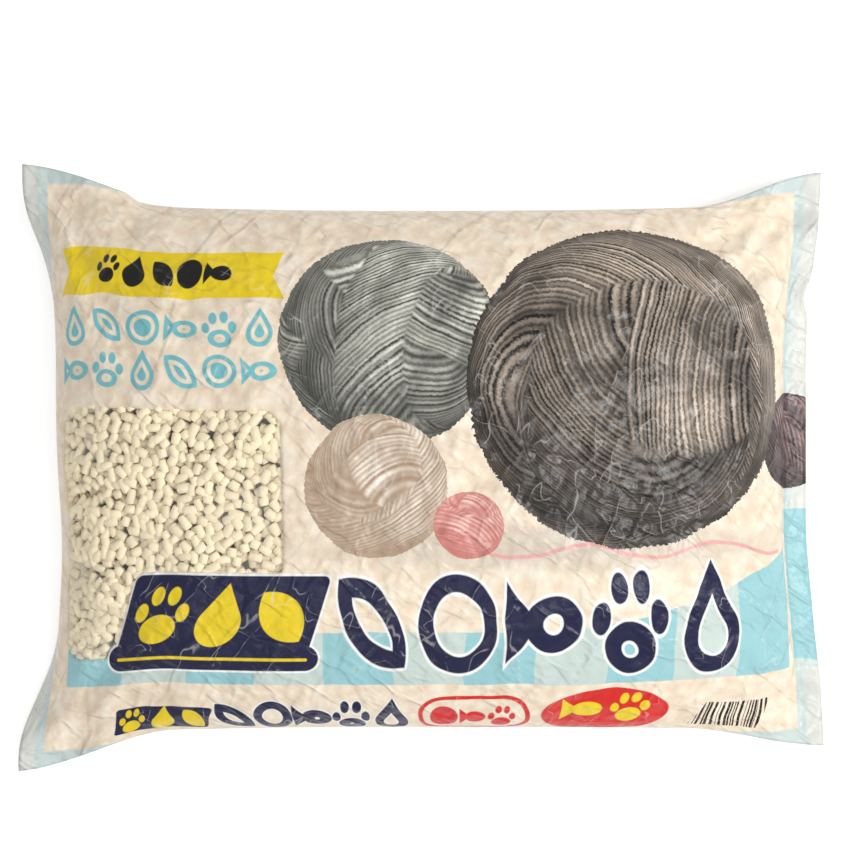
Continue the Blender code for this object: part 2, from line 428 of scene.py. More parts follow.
class Film:
    """The filled film on a fine grid: its places in the flat film, and its points in the bag."""

    def __init__(self, settings):
        self.half_length = settings.half_length
        self.half_width = settings.half_width
        self.height = settings.height
        rows, flat_length = self.even_places(self.half_length, BODY_CELLS_ALONG)
        columns, flat_width = self.even_places(self.half_width, BODY_CELLS_ACROSS)
        out = np.arange(1, BAND_CELLS + 1) / BAND_CELLS
        row_shares = np.linspace(-1.0, 1.0, len(rows))
        column_shares = np.linspace(-1.0, 1.0, len(columns))
        ones = np.ones(BAND_CELLS)
        rows, row_shares = (np.concatenate((-ones, held, ones)) for held in (rows, row_shares))
        bands = np.concatenate((out[::-1], np.zeros(len(rows) - 2 * BAND_CELLS), out))

        rows, columns = np.meshgrid(rows, columns, indexing="ij")
        row_shares, column_shares = np.meshgrid(row_shares, column_shares, indexing="ij")
        flat_rows = np.abs(columns) ** WEDGE_POWER
        flat_columns = np.abs(rows) ** WEDGE_POWER
        self.along = rows + (row_shares - rows) * flat_rows
        self.across = columns + (column_shares - columns) * flat_columns
        self.on_band = np.repeat(bands[:, None], columns.shape[1], axis=1)
        self.end = np.sign(self.along)
        self.side = np.sign(self.across)
        self.page_x = (row_shares * flat_length + self.end * self.on_band * SEAL_BAND) / MM
        self.page_y = column_shares * flat_width / MM
        self.from_seam = (1.0 - np.abs(self.along)) * self.half_length
        self.from_fold = (1.0 - np.abs(self.across)) * self.half_width
        self.from_tip = self.from_seam + (1.0 - self.on_band) * SEAL_BAND
        window = slab_distance(self.page_x, self.page_y, WINDOW)
        self.window = np.maximum(window, OUTLINE - block_distance(self.page_x, self.page_y))
        self.share = self.fill_share()
        self.form()

    def even_places(self, reach, cells):
        """Places from -1 to 1 that part the film over a body into even cells, and its half length."""
        places = np.sin(np.linspace(0.0, 0.5 * math.pi, PROFILE_SAMPLES))
        heights = (self.height - FOLD_HEIGHT) * (1.0 - places**SQUARENESS) ** ROUND_SIDE
        steps = np.hypot(np.diff(places) * reach, np.diff(heights))
        lengths = np.concatenate(([0.0], np.cumsum(steps)))
        half = np.interp(np.linspace(0.0, lengths[-1], cells // 2 + 1), lengths, places)
        return np.concatenate((-half[:0:-1], half)), lengths[-1]

    def fill_share(self):
        """Share of the full height, from 1 in the middle of the body to 0 along its edge."""
        along, across = np.abs(self.along), np.abs(self.across)
        side_at_ends = ROUND_SIDE + (WEDGE_SIDE - ROUND_SIDE) * along**WEDGE_POWER
        side_at_folds = ROUND_SIDE + (WEDGE_SIDE - ROUND_SIDE) * across**WEDGE_POWER
        return (1.0 - along**SQUARENESS) ** side_at_folds * (1.0 - across**SQUARENESS) ** side_at_ends

    def at_ear(self, ear):
        """1 on the quarter of the film that has this ear, and 0 elsewhere."""
        return (self.end == ear.end) & (self.side == ear.side)

    def by_ear(self, worth, first_kind=0):
        """A measure that each ear sets on its own quarter of the film, from the ear and its kind."""
        return sum(self.at_ear(ear) * worth(ear, kind) for kind, ear in enumerate(EARS, start=first_kind))

    def ear_stand_out(self):
        """How far the long folds stand out towards the tips of the ears."""
        far = np.clip(1.0 - self.from_tip / self.half_length, 0.0, 1.0) ** 2

        def worth(ear, _):
            near = smooth(1.0 - self.from_tip / ear.run)
            return ear.stand_out * ((1.0 - EAR_LONG_SHARE) * near + EAR_LONG_SHARE * far)

        return self.by_ear(worth)

    def seam_flare(self):
        """How far the ends of the welds stand out past their middles."""
        return self.by_ear(lambda ear, _: ear.flare * past(self.across, ear.flare_from))

    def seam_height(self):
        """Height of the surface where the two plies meet, which dips to the welds and the ears."""
        height = FOLD_HEIGHT + (SEAL_HEIGHT - FOLD_HEIGHT) * np.abs(self.along) ** END_DIP_POWER
        dip = np.abs(self.along) ** EAR_DIP_POWER * past(self.across, EAR_DROP_FROM)
        return height + self.by_ear(lambda ear, _: (ear.tip_height - SEAL_HEIGHT) * dip)

    def ear_folds(self):
        """Folds that fan out over the ears from the corners of the body, in both plies alike."""
        near = past(self.along, EAR_FOLDS_FROM[0]) * past(self.across, EAR_FOLDS_FROM[1])
        beyond = (np.abs(self.along) - EAR_FAN_CENTRE[0], np.abs(self.across) - EAR_FAN_CENTRE[1])
        fan = np.arctan2(beyond[1], beyond[0])
        folds = self.by_ear(lambda _, kind: ripple(fan, EAR_FOLDS, kind), EAR_FOLD_KIND)
        return EAR_FOLD_HEIGHT * near * folds

    def gathers(self):
        """Ridges that run from the welds, and from the long folds near the ears, into the body."""
        left, right = (ripple(self.across, GATHERS, kind) for kind in GATHER_KINDS[:2])
        low, high = (ripple(self.along, FOLD_GATHERS, kind) for kind in GATHER_KINDS[2:])
        at_welds = np.where(self.end < 0.0, left, right)
        at_folds = np.where(self.side < 0.0, low, high)
        from_welds = GATHER_HEIGHT * smooth(1.0 - self.from_seam / GATHER_REACH) * at_welds
        from_folds = FOLD_GATHER_HEIGHT * smooth(1.0 - self.from_fold / FOLD_GATHER_REACH) * at_folds
        return from_welds + from_folds * past(self.along, FOLD_GATHERS_FROM)

    def fine_gathers(self):
        """Small pleats close to the welds."""
        pleats = np.abs(ripple(self.across, FINE_GATHERS, FINE_GATHER_KIND))
        return FINE_GATHER_HEIGHT * smooth(1.0 - self.from_seam / FINE_GATHER_REACH) * pleats

    def ear_creases(self):
        """Creases drawn from each ear into the body by the film's tension."""
        from_corner = np.hypot(self.from_seam, self.from_fold)
        near = smooth(1.0 - from_corner / CREASE_REACH) * smooth(from_corner / CREASE_FROM)
        fan = np.arctan2(self.from_fold, self.from_seam)
        creases = self.by_ear(lambda _, kind: ripple(fan, CREASES, kind), EAR_CREASE_KIND)
        return CREASE_HEIGHT * near * creases

    def swells(self, x, y):
        """Low bumps of the filling: waves that cross in all directions."""
        chance = np.random.default_rng(SEED)
        total = np.zeros_like(x)
        for _ in range(SWELL_WAVES):
            heading = chance.uniform(0.0, 2.0 * math.pi)
            turn = 2.0 * math.pi / (SWELL_PITCH * chance.uniform(*SWELL_PITCH_SHARES))
            shift = chance.uniform(0.0, 2.0 * math.pi)
            total += np.sin(turn * (x * math.cos(heading) + y * math.sin(heading)) + shift)
        return SWELL_HEIGHT * total / math.sqrt(SWELL_WAVES)

    def pressed_pellets(self):
        """Small domes where single pellets press on the film."""
        chance = np.random.default_rng(SEED + 1)
        pitch = PELLET_PRESS_PITCH / MM
        wander = (-PELLET_PRESS_WANDER, PELLET_PRESS_WANDER)
        reach_x, reach_y = np.abs(self.page_x).max(), np.abs(self.page_y).max()
        spots = [
            (x + chance.uniform(*wander) * pitch, y + chance.uniform(*wander) * pitch, 0.0)
            for x in np.arange(-reach_x, reach_x, pitch)
            for y in np.arange(-reach_y, reach_y, pitch)
        ]
        tree = KDTree(len(spots))
        for index, spot in enumerate(spots):
            tree.insert(spot, index)
        tree.balance()
        nearest = [tree.find((x, y, 0.0))[2] for x, y in zip(self.page_x.flat, self.page_y.flat)]
        distance = np.array(nearest).reshape(self.page_x.shape) / pitch
        return PELLET_PRESS * smooth(1.0 - distance / PELLET_PRESS_REACH)

    def dent(self):
        """Share of the dent that draws the left end in."""
        return (self.end < 0.0) * np.exp(-(((self.across - DENT_AT) / DENT_SPREAD) ** 2))

    def tuck(self):
        """Share of the tuck that draws the upper left fold in, sharply by the ear."""
        from_tuck = self.from_seam - TUCK_FROM_SEAM
        drawn_in = smooth(from_tuck / TUCK_LENGTH) * smooth(1.0 - from_tuck / TUCK_RECOVERY)
        return self.at_ear(EARS[0]) * drawn_in * np.abs(self.across) ** TUCK_EDGE_POWER

    def nick(self):
        """Share of the nick in the right weld, where its edge is pinched."""
        from_nick = (self.from_fold - NICK_FROM_FOLD) / NICK_LENGTH
        return self.at_ear(EARS[1]) * self.on_band * np.exp(-(from_nick**2))

    def form(self):
        """Points of the upper and the lower ply of the filled bag."""
        droop = np.where(self.end < 0.0, LEFT_DROOP, RIGHT_DROOP)
        droop = droop * (1.0 - smooth(np.abs(self.across)) ** DROOP_EASE)
        nick = self.nick()
        band = SEAL_BAND * self.on_band - NICK_DEPTH * nick
        half_length = self.half_length + self.seam_flare() - DENT_DEPTH * self.dent()
        x = self.along * half_length + self.end * band * np.cos(droop)
        y = self.across * (self.half_width + self.ear_stand_out()) - self.side * TUCK_DEPTH * self.tuck()

        seam = self.seam_height() + self.ear_folds() - band * np.sin(droop) + NICK_LIFT * nick
        seam += BAND_WAVE_HEIGHT * self.on_band * ripple(self.across, BAND_WAVES, BAND_WAVE_KIND)
        relief = self.gathers() + self.fine_gathers() + self.ear_creases() + self.swells(x, y)
        relief += self.pressed_pellets()
        upper = seam + (self.height - FOLD_HEIGHT) * self.share + relief * smooth(self.share / RELIEF_FROM)
        lower = seam * np.clip(1.0 - SETTLING * self.share, 0.0, 1.0) ** SETTLING_ROUND
        lower -= np.minimum(FILM_THICKNESS, lower)
        self.upper = np.stack((x, y, upper), axis=-1)
        self.lower = np.stack((x, y, lower), axis=-1)
        middle = 0.5 * (self.upper.reshape(-1, 3).min(0) + self.upper.reshape(-1, 3).max(0))
        for ply in (self.upper, self.lower):
            ply[..., :2] -= middle[:2]

    def upward(self):
        """Unit normals of the upper ply."""
        normal = np.cross(np.gradient(self.upper, axis=0), np.gradient(self.upper, axis=1))
        return normal / np.maximum(np.linalg.norm(normal, axis=-1, keepdims=True), 1e-12)


class Value:
    """An output of a node that takes plain arithmetic, as a number or as a vector."""

    def __init__(self, nodes, socket):
        self.nodes = nodes
        self.socket = socket
        self.is_vector = socket.type in ("VECTOR", "RGBA")

    def step(self, operation, *values):
        """One step of arithmetic on numbers, or on vectors."""
        return (self.nodes.vector if self.is_vector else self.nodes.math)(operation, *values)

    def split(self):
        """Its three parts."""
        parts = self.nodes.node("ShaderNodeSeparateXYZ", self).outputs
        return [Value(self.nodes, part) for part in parts]

    def __add__(self, other):
        return self.step("ADD", self, other)

    def __sub__(self, other):
        return self.step("SUBTRACT", self, other)

    def __rsub__(self, other):
        return self.step("SUBTRACT", other, self)

    def __mul__(self, other):
        by_vector = other.is_vector if isinstance(other, Value) else isinstance(other, tuple)
        if self.is_vector and not by_vector:
            return self.nodes.vector("SCALE", self, scale=other)
        return self.step("MULTIPLY", self, other)

    def __truediv__(self, other):
        return self.step("DIVIDE", self, other)

    def __gt__(self, other):
        return self.step("GREATER_THAN", self, other)

    def __lt__(self, other):
        return self.step("LESS_THAN", self, other)

    def __abs__(self):
        return self.step("ABSOLUTE", self)


class Nodes:
    """Short calls that add nodes to a tree and link their sockets."""

    def __init__(self, tree):
        self.tree = tree

    def feed(self, socket, value):
        """Links a socket to a value of the tree, or sets the socket's own value."""
        if isinstance(value, Value):
            self.tree.links.new(value.socket, socket)
        else:
            socket.default_value = value

    def fill(self, node, *values, **given):
        """Feeds a node's inputs in their order, and others by name, with an underscore for a space."""
        for socket, value in zip(node.inputs, values):
            self.feed(socket, value)
        for name, value in given.items():
            self.feed(node.inputs[name.replace("_", " ")], value)
        return node

    def node(self, kind, *values, **given):
        """A node with its inputs and its settings; a setting's name starts with a small letter."""
        node = self.tree.nodes.new(kind)
        for name, value in given.items():
            if name[0].islower():
                setattr(node, name, value)
        return self.fill(node, *values, **{name: value for name, value in given.items() if name[0].isupper()})

    def out(self, node, name=0):
        """One output of a node."""
        return Value(self, node.outputs[name])

    def add(self, kind, *values, **given):
        """The first output of a new node."""
        return self.out(self.node(kind, *values, **given))

    def math(self, operation, *values, clamp=False):
        """One step of arithmetic."""
        return self.add("ShaderNodeMath", *values, operation=operation, use_clamp=clamp)

    def vector(self, operation, *values, scale=None):
        """One step of vector arithmetic."""
        node = self.node("ShaderNodeVectorMath", *values, operation=operation)
        if scale is not None:
            self.feed(node.inputs["Scale"], scale)
        return self.out(node, "Value" if operation in ("LENGTH", "DISTANCE", "DOT_PRODUCT") else "Vector")

    def dot(self, first, second):
        """Dot product of two vectors."""
        return self.vector("DOT_PRODUCT", first, second)

    def length(self, vector):
        """Length of a vector."""
        return self.vector("LENGTH", vector)

    def least(self, *values):
        """The lowest of some numbers: shapes together, where they are distances."""
        return reduce(lambda first, second: self.math("MINIMUM", first, second), values)

    def most(self, *values):
        """The highest of some numbers: what shapes share, where they are distances."""
        return reduce(lambda first, second: self.math("MAXIMUM", first, second), values)

    def join(self, x, y, z=0.0):
        """A vector of three numbers."""
        return self.add("ShaderNodeCombineXYZ", x, y, z)

    def mix(self, share, first, second):
        """A mix of two colours."""
        node = self.node("ShaderNodeMix", share, data_type="RGBA")
        self.feed(node.inputs[6], first)
        self.feed(node.inputs[7], second)
        return self.out(node, 2)

    def span(self, value, low, high, to_low=0.0, to_high=1.0, smooth_step=False):
        """A number taken from one range to another, and held at its ends."""
        form = "SMOOTHSTEP" if smooth_step else "LINEAR"
        return self.add("ShaderNodeMapRange", value, low, high, to_low, to_high, interpolation_type=form)

    def noise(self, place, scale, detail, dimensions="2D", output="Fac"):
        """Noise over a page or in space, as a number or as a colour."""
        node = self.node(
            "ShaderNodeTexNoise", noise_dimensions=dimensions, Vector=place, Scale=scale, Detail=detail
        )
        return self.out(node, output)

    def line_noise(self, place, scale, detail):
        """Noise along a line."""
        return self.add("ShaderNodeTexNoise", noise_dimensions="1D", W=place, Scale=scale, Detail=detail)

    def attribute(self, name, output="Fac"):
        """A value that the mesh carries."""
        return self.out(self.node("ShaderNodeAttribute", attribute_name=name), output)

    def place(self):
        """The place of a point on its object."""
        return self.out(self.node("ShaderNodeTexCoord"), "Object")

    def bump(self, height, strength, distance):
        """The surface direction that a height gives."""
        return self.add("ShaderNodeBump", Strength=strength, Distance=distance, Height=height)


def new_material(name):
    """A material, with its nodes and its shader."""
    made = bpy.data.materials.new(name)
    made.use_nodes = True
    return made, Nodes(made.node_tree), made.node_tree.nodes["Principled BSDF"]


class PrintedSheet:
    """The print: inks laid over each other on a page, from distances to the shapes' edges."""

    def __init__(self, nodes, place, colour):
        self.nodes = nodes
        self.place = place
        self.colour = colour
        self.block = nodes.least(self.slab(BLOCK), self.bar(*BLOCK_FOOT))

    def bar(self, start, end, radius):
        """Distance from a stroke with round ends."""
        stroke = (end[0] - start[0], end[1] - start[1], 0.0)
        from_start = self.place - (*start, 0.0)
        length_squared = stroke[0] ** 2 + stroke[1] ** 2
        share = self.nodes.math("DIVIDE", self.nodes.dot(from_start, stroke), length_squared, clamp=True)
        nearest = self.nodes.vector("SCALE", stroke, scale=share)
        return self.nodes.vector("DISTANCE", from_start, nearest) - radius

    def disc(self, centre, half, place=None):
        """Distance from a disc or an oval."""
        half = half if isinstance(half, tuple) else (half, half)
        offset = ((place or self.place) - (*centre, 0.0)) / (*half, 1.0)
        return (self.nodes.length(offset) - 1.0) * min(half)

    def slab(self, slab):
        """Distance from a slab."""
        nodes = self.nodes
        x, y, _ = (self.place - (*slab.centre, 0.0)).split()
        beyond_x = abs(x - y * slab.slant) - (slab.half[0] - slab.corner)
        beyond_y = abs(y) - (slab.half[1] - slab.corner)
        outside = nodes.length(nodes.join(nodes.most(beyond_x, 0.0), nodes.most(beyond_y, 0.0)))
        return outside + nodes.least(nodes.most(beyond_x, beyond_y), 0.0) - slab.corner

    def ring(self, distance, half_line):
        """The outline of a shape, drawn inside its edge."""
        return abs(distance + half_line) - half_line

    def cover(self, distance, soft=0.35):
        """1 inside a shape and 0 outside it."""
        return self.nodes.span(distance, -soft, soft, 1.0, 0.0)

    def lay(self, share, ink):
        """Prints an ink where the share is 1."""
        self.colour = self.nodes.mix(share, self.colour, INKS[ink] if isinstance(ink, str) else ink)


def wound(nodes, offset, radius, turn, fuzz):
    """Tone of strands wound about a ball in bands that cross each other."""
    x, y, _ = offset.split()
    under = 1.0 - nodes.dot(offset, offset)
    dome = nodes.join(x, y, nodes.math("SQRT", nodes.most(under, 0.0)))
    turned = nodes.add(
        "ShaderNodeVectorRotate", rotation_type="AXIS_ANGLE", Vector=dome, Axis=WOOL_TURN_AXIS, Angle=turn
    )
    ball = turned + fuzz * 0.018
    density = radius * 2.1
    tone = None
    for index, axis in enumerate(WOOL_AXES):
        laps = nodes.dot(ball, axis) * density
        strand = nodes.math("SINE", laps) * 0.22 + nodes.line_noise(laps, 0.16, 1.0)
        crossing = nodes.dot(ball, WOOL_AXES[(index + 2) % len(WOOL_AXES)])
        width = abs(crossing - 0.34 * math.sin(2.1 * index))
        on_top = nodes.span(width, 0.30, 0.33, 1.0, 0.0)
        edge = nodes.span(width, 0.22, 0.31, WOOL_TONES[index], 0.62 * WOOL_TONES[index])
        strand = nodes.span(strand, 0.18, 0.85, 0.02, 1.05) * edge
        tone = strand if tone is None else tone + (strand - tone) * on_top
    shading = nodes.span(nodes.dot(dome, WOOL_LIGHT), -0.1, 1.0, 0.20, 1.0)
    dye = nodes.noise(ball * (2.6, 1.2, 2.6), 1.0, 2.0, "3D")
    return tone * shading * nodes.span(dye, 0.36, 0.64, 0.45, 1.20)


def lay_wool(sheet):
    """The picture: balls of wool on a pale ground, with a soft shadow under them."""
    nodes = sheet.nodes
    sheet.lay(nodes.span(sheet.disc(*SHADOW), -9.0, 7.0, 0.45, 0.0, smooth_step=True), "shadow")
    x, y, _ = sheet.place.split()
    sway = nodes.math("SINE", x / STRAND_SWAY_LENGTH) * STRAND_SWAY
    strand = abs(y - STRAND_LEVEL - sway) - STRAND_RADIUS
    sheet.lay(sheet.cover(nodes.most(strand, STRAND_SPAN[0] - x, x - STRAND_SPAN[1])), "strand")
    fuzz = nodes.noise(sheet.place, 0.45, 3.0, output="Color") - (0.5, 0.5, 0.5)
    ragged = fuzz.split()[0] * 0.04
    covered, offset, sizes = 0.0, (0.0, 0.0, 0.0, 1.0), (1.0, 0.0, 0.0, 1.0)
    light = shade = INKS["white"]
    for held in WOOL_BALLS:
        from_centre = (sheet.place - (*held.centre, 0.0)) * (1.0 / held.radius)
        here = nodes.length(from_centre) + ragged < 1.0
        covered = nodes.most(covered, here)
        offset = nodes.mix(here, offset, from_centre)
        sizes = nodes.mix(here, sizes, (held.radius, held.turn, 0.0, 1.0))
        light = nodes.mix(here, light, held.light)
        shade = nodes.mix(here, shade, held.shade)
    radius, turn, _ = sizes.split()
    sheet.lay(covered, nodes.mix(wound(nodes, offset, radius, turn, fuzz), shade, light))


def lay_band(sheet):
    """The blue band of columns along the foot of the front, which climbs to the right."""
    nodes = sheet.nodes
    x, y, _ = sheet.place.split()
    climb = nodes.math("POWER", nodes.span(x, *BAND_CLIMB_SPAN), BAND_CLIMB_POWER) * BAND_CLIMB
    rise = nodes.span(x, BAND_LEFT, BAND_RISE_END, 0.0, BAND_RISE, smooth_step=True)
    top = rise + BAND_TOP + climb
    column = nodes.math("FLOOR", (x - BAND_LEFT) / COLUMN_PITCH)
    dark = nodes.math("COMPARE", nodes.math("FLOORED_MODULO", column, 2.0), 0.0, 0.5)
    gap = BAND_GAP_HALF - abs(x - BAND_GAP_AT)
    inside = nodes.most(y - top, BAND_BOTTOM - y, BAND_LEFT - x, gap)
    sheet.lay(sheet.cover(inside), nodes.mix(dark, INKS["mist"], INKS["sky"]))
    sheet.lay(sheet.cover(sheet.slab(WELD_COLUMN)), "sky")


def lay_banner(sheet):
    """The yellow banner with notched ends."""
    x, y, _ = abs(sheet.place - (*BANNER_CENTRE, 0.0)).split()
    ends = x - BANNER_HALF[0] + (BANNER_NOTCH - y * (BANNER_NOTCH / BANNER_HALF[1]))
    sheet.lay(sheet.cover(sheet.nodes.most(ends, y - BANNER_HALF[1])), "yellow")


def lay_blocks(sheet):
    """The slanted navy blocks, the red seal and badge, the rule and the bars."""
    for distance, ink in (
        (sheet.block - OUTLINE, "white"),
        (sheet.block, "navy"),
        (sheet.bar(*RULE), "yellow"),
        (sheet.slab(SMALL_BLOCK), "navy"),
        (sheet.ring(sheet.bar(*SEAL), SEAL_LINE), "red"),
        (sheet.disc(*BADGE), "red"),
    ):
        sheet.lay(sheet.cover(distance), ink)
    along = sheet.place.split()[0] * (1.0 / BARS_PITCH)
    dark = sheet.nodes.line_noise(along, 1.0, 0.0) > 0.50
    sheet.lay(sheet.cover(sheet.slab(BARS)) * dark, "black")


def sign_shapes(sheet, local):
    """The signs, in a cell from -0.5 to 0.5: a paw print, a drop, a leaf, a ball and a fish."""
    nodes = sheet.nodes
    toes = (sheet.disc(toe, TOE_HALF, local) for toe in TOES)
    paw = nodes.least(sheet.disc(*PALM, local), *toes)
    x, y, _ = local.split()
    from_middle = nodes.join(abs(x), y - DROP_LEVEL)
    side = nodes.dot(from_middle, (*DROP_SIDE, 0.0)) - DROP_RADIUS
    round_end = nodes.length(from_middle) - DROP_RADIUS
    at_side = nodes.dot(from_middle, (-DROP_SIDE[1], DROP_SIDE[0], 0.0)) > 0.0
    drop = round_end + at_side * (side - round_end)
    leaf = nodes.most(*(sheet.disc((off, off), LEAF_RADIUS, local) for off in (LEAF_OFF, -LEAF_OFF)))
    ball = sheet.disc((0.0, 0.0), BALL_RADIUS, local)
    tail = nodes.most(abs(y) * TAIL_SLOPE[1] + x * TAIL_SLOPE[0] - TAIL_START, TAIL_END - x)
    fish = nodes.least(sheet.disc(*FISH, local), tail)
    return paw, drop, leaf, ball, fish


def row_cells(sheet, row):
    """Where a place lies in its cell of a row, with the cell's size, its sign, and if it is inside."""
    nodes = sheet.nodes
    x, y, _ = (sheet.place - (row.start, row.level, 0.0)).split()
    step = (x - y * row.slant) / row.pitch
    index = nodes.math("FLOOR", step)
    across = (step - index - 0.5) * row.pitch / row.size
    up = y / (row.size * row.tall)
    inside = (step > 0.0) * (step < float(row.count)) * (abs(up) < SIGN_REACH)
    kind = nodes.math("FLOORED_MODULO", index + float(row.first), float(SIGN_KINDS))
    return nodes.join(across, up, row.size) * inside, kind * inside, inside


def lay_signs(sheet):
    """Prints the rows of signs that stand where such a bag has words."""
    nodes = sheet.nodes
    places, kinds, insides = zip(*(row_cells(sheet, row) for row in ICON_ROWS))
    local, kind = reduce(Value.__add__, places), reduce(Value.__add__, kinds)
    size = local.split()[2]
    shapes = sign_shapes(sheet, local * (1.0, 1.0, 0.0))
    chosen = [nodes.math("COMPARE", kind, float(number), 0.25) * shape for number, shape in enumerate(shapes)]
    distance = reduce(Value.__add__, chosen) * size
    for row, inside in zip(ICON_ROWS, insides):
        drawn = sheet.ring(distance, row.stroke) if row.stroke else distance
        if row.core:
            drawn = nodes.least(drawn, distance + row.core)
        if row.outline:
            sheet.lay(sheet.cover(drawn - row.outline) * inside, "white")
        sheet.lay(sheet.cover(drawn) * inside, row.ink)


def creased(nodes, place, patch, grain):
    """Height of the fine creases and pellet marks in the film, and the thin lines along the creases that are
    lightened, partly as worn print and partly as painted glints.
    """
    height = grain * -0.8 + patch * 2.2
    worn_and_glint = []
    for scale, turn, width in ((0.020, 0.5, 0.007), (0.032, 2.2, 0.006)):
        turned = nodes.add("ShaderNodeVectorRotate", rotation_type="Z_AXIS", Vector=place, Angle=turn)
        wander = nodes.noise(turned * (1.0, 0.42, 1.0), scale, 3.0)
        off_line = abs(wander - 0.5)
        worn_and_glint.append(nodes.span(off_line, 0.0, width, 1.0, 0.0) * nodes.span(patch, 0.46, 0.58))
        height += nodes.span(off_line, 0.0, 0.075, 1.0, 0.0, smooth_step=True) * 0.9
    return height, nodes.most(*worn_and_glint)


def bare_film(nodes, place, patch, grain, settings):
    """Colour of the unprinted film: pale over the pellets, and cooler in the empty ears and welds."""
    reach_x, reach_y, _ = abs(place).split()
    from_seam = FLAT_HALF[0] - reach_x
    from_fold = FLAT_HALF[1] - reach_y
    wedge = nodes.span(from_seam, 0.0, 90.0, EAR_MARGIN, -4.0)
    within = nodes.least(from_seam - 1.0, from_fold - wedge)
    # Painted shade: the filled film darkens in the valleys between the pellet presses
    filled = nodes.mix(nodes.span(grain, 0.15, 0.75, 0.0, 0.62), tuple(settings.filled_tint), DIMPLE_SHADE_TINT)
    blush = nodes.noise(place, 0.115, 2.0)
    filled = nodes.mix(nodes.span(blush, 0.42, 0.70, 0.0, 0.60), filled, BLUSH_TINT)
    filled = nodes.mix(nodes.span(patch, 0.48, 0.70, 0.0, 0.40), filled, GLEAM_TINT)
    at_seam = nodes.span(from_seam, -9.0, -3.0, 0.0, 0.55)
    empty = nodes.mix(at_seam, tuple(settings.empty_tint), SEAM_TINT)
    return nodes.mix(nodes.span(within, -1.0, 1.5), empty, filled)


def printed_film(settings):
    """Printed film with a soft gloss, pressed by the pellets and finely crumpled."""
    made, nodes, shader = new_material("printed_film")
    place = nodes.attribute("page", "Vector")
    grain = nodes.add(
        "ShaderNodeTexVoronoi",
        feature="SMOOTH_F1",
        voronoi_dimensions="2D",
        Vector=place,
        Scale=0.105,
        Smoothness=0.6,
    )
    patch = nodes.noise(place, 0.05, 4.0)
    page = bare_film(nodes, place, patch, grain, settings)

    sheet = PrintedSheet(nodes, place, page)
    window = nodes.most(sheet.slab(WINDOW), OUTLINE - sheet.block)
    wander = nodes.noise(place, 0.030, 1.0, output="Color")
    off_middle = (wander - (0.5, 0.5, 0.5)) * (1.0, 1.0, 0.0)
    sheet.place = place + off_middle * nodes.span(sheet.block, 2.0, 24.0, 0.0, PRINT_SLIP, smooth_step=True)
    for lay_part in (lay_wool, lay_band, lay_banner, lay_blocks, lay_signs):
        lay_part(sheet)
    # Painted shade: the film sunk behind the window is dark brown, for the deep shade between the pellets
    sheet.lay(sheet.cover(window + WINDOW_LIP), "painted_gap_shade")

    height, crack_and_glint = creased(nodes, place, patch, grain)
    # Lightens the print along the creases: partly worn ink, partly painted glints
    worn_and_glint = nodes.mix(crack_and_glint * 0.30, sheet.colour, WORN_AND_GLINT_TINT)
    nodes.fill(
        shader,
        Base_Color=nodes.mix(nodes.attribute("front"), page, worn_and_glint),
        Normal=nodes.bump(height, 0.75, 0.0012),
        Roughness=nodes.span(patch, 0.3, 0.7, 0.32, 0.48),
        Specular_IOR_Level=0.38,
    )
    return made


def clear_film():
    """Clear glossy film over the window, with a whitish haze that is partly the film's own and partly painted
    glare, thicker along its fine wrinkles and towards the foot of the window.
    """
    made, nodes, shader = new_material("clear_film")
    place = nodes.place()
    wander = nodes.noise(place * (1.0, 0.5, 1.0), 42.0, 3.0, "3D")
    off_line = abs(wander - 0.5)
    haze_and_glare = nodes.span(nodes.noise(place, 16.0, 2.0, "3D"), 0.40, 0.70, 0.02, 0.12)
    # Painted glare: the haze thickens towards the foot of the window
    foot = nodes.span(place.split()[1], -0.050, -0.115, 0.0, 0.15, smooth_step=True)
    haze_and_glare += foot * nodes.span(wander, 0.35, 0.62)
    # Painted glare along the fine wrinkles
    wrinkle_glare = nodes.span(off_line, 0.0, 0.012, 1.0, 0.0) * haze_and_glare
    nodes.fill(
        shader,
        Base_Color=HAZE_AND_GLARE_TINT,
        Alpha=haze_and_glare + wrinkle_glare,
        Normal=nodes.bump(nodes.span(off_line, 0.0, 0.10, 1.0, 0.0), 0.5, 0.0012),
        Roughness=0.16,
        IOR=1.6,
    )
    return made


def pulp(settings):
    """Pressed paper pulp: dull, rough and uneven from pellet to pellet, with painted shade on each pellet's
    lower sides and on the deeper layer.
    """
    made, nodes, shader = new_material("pulp_pellets")
    fibre = nodes.noise(nodes.place(), 650.0, 4.0, "3D")
    # Low tone takes the dark pulp tint: random tone, and painted shade on the deeper layer
    body = nodes.mix(nodes.attribute("tone"), DARK_PULP_AND_SHADE_TINT, tuple(settings.tint))
    # Painted shade: each pellet darkens towards its lower side, for the shade between the pellets
    body = nodes.mix(nodes.span(nodes.attribute("rise"), -0.10, 0.55, 0.90, 0.0), body, PELLET_SIDE_SHADE_TINT)
    nodes.fill(
        shader,
        Base_Color=nodes.mix(nodes.span(fibre, 0.35, 0.65, 0.0, 0.35), body, FIBRE_TINT),
        Roughness=nodes.span(fibre, 0.3, 0.7, 0.75, 0.95),
        Normal=nodes.bump(fibre, 0.5, 0.0006),
    )
    return made


def grid_faces(rows, columns, offset=0, turned=False):
    """Four-sided faces over a grid of points that are numbered row by row."""
    first = np.arange(rows - 1)[:, None] * columns + np.arange(columns - 1)[None, :] + offset
    faces = np.stack((first, first + columns, first + columns + 1, first + 1), axis=-1).reshape(-1, 4)
    return faces[:, ::-1] if turned else faces


